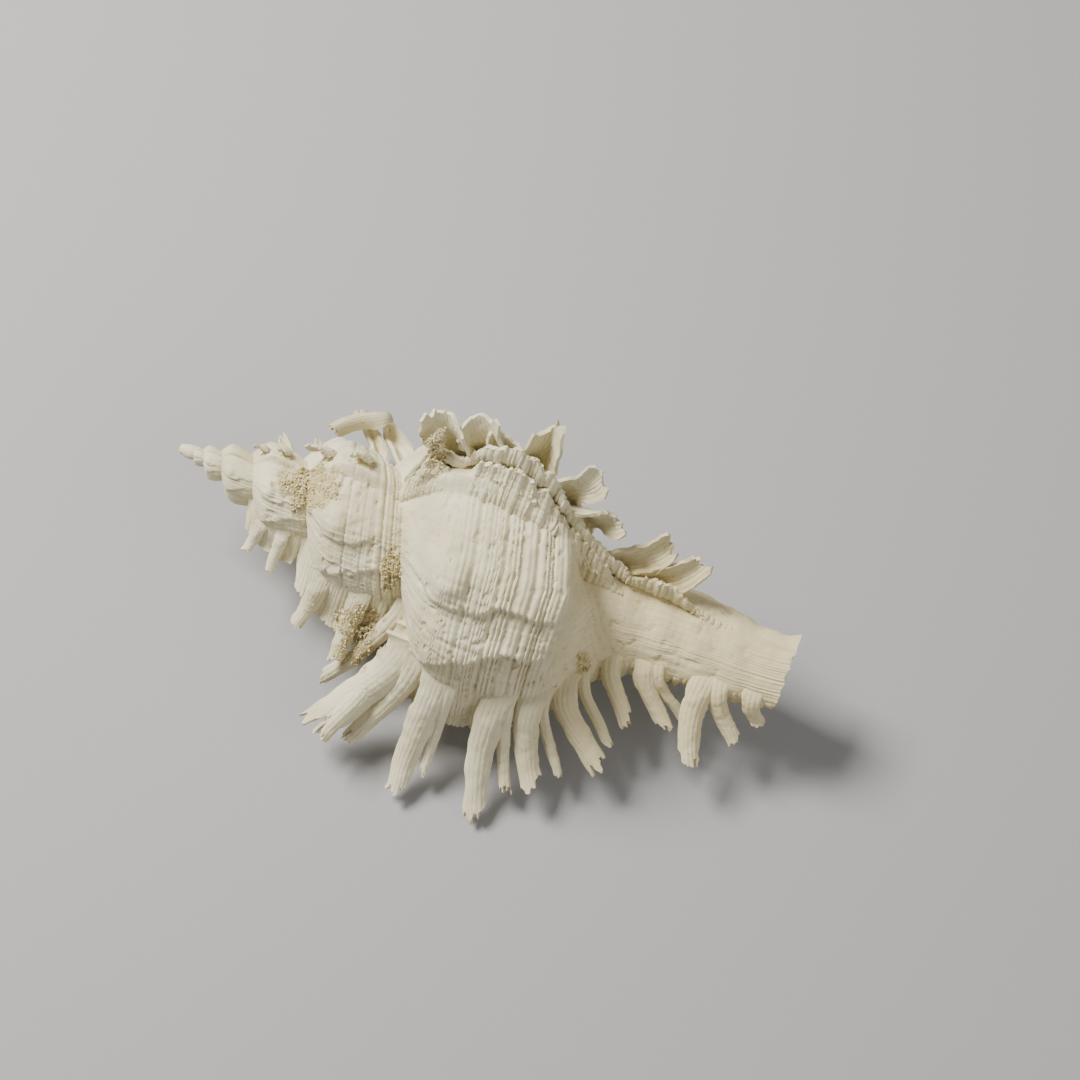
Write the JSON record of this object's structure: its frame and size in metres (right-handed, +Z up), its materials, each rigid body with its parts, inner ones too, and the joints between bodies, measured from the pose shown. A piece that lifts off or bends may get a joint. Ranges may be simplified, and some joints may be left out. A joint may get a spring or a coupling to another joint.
{
  "type": "murex shell",
  "caption": "Bleached murex sea shell with a spiral body, rows of folded fronds and spines, a hollow mouth and a long siphonal canal.",
  "frame": {"origin": "middle of the footprint, on the surface that the shell lies on", "axes": "+X along the shell from apex to canal end, +Z up as it lies, +Y towards its hind row of fronds"},
  "size_m": [0.075, 0.0442, 0.0345],
  "materials": {
    "shell_chalk": "bleached chalky shell, matt, with fine spiral cords and caked sand"
  },
  "bodies": {
    "root": {"shell": "shell_chalk"}
  },
  "joints": []
}
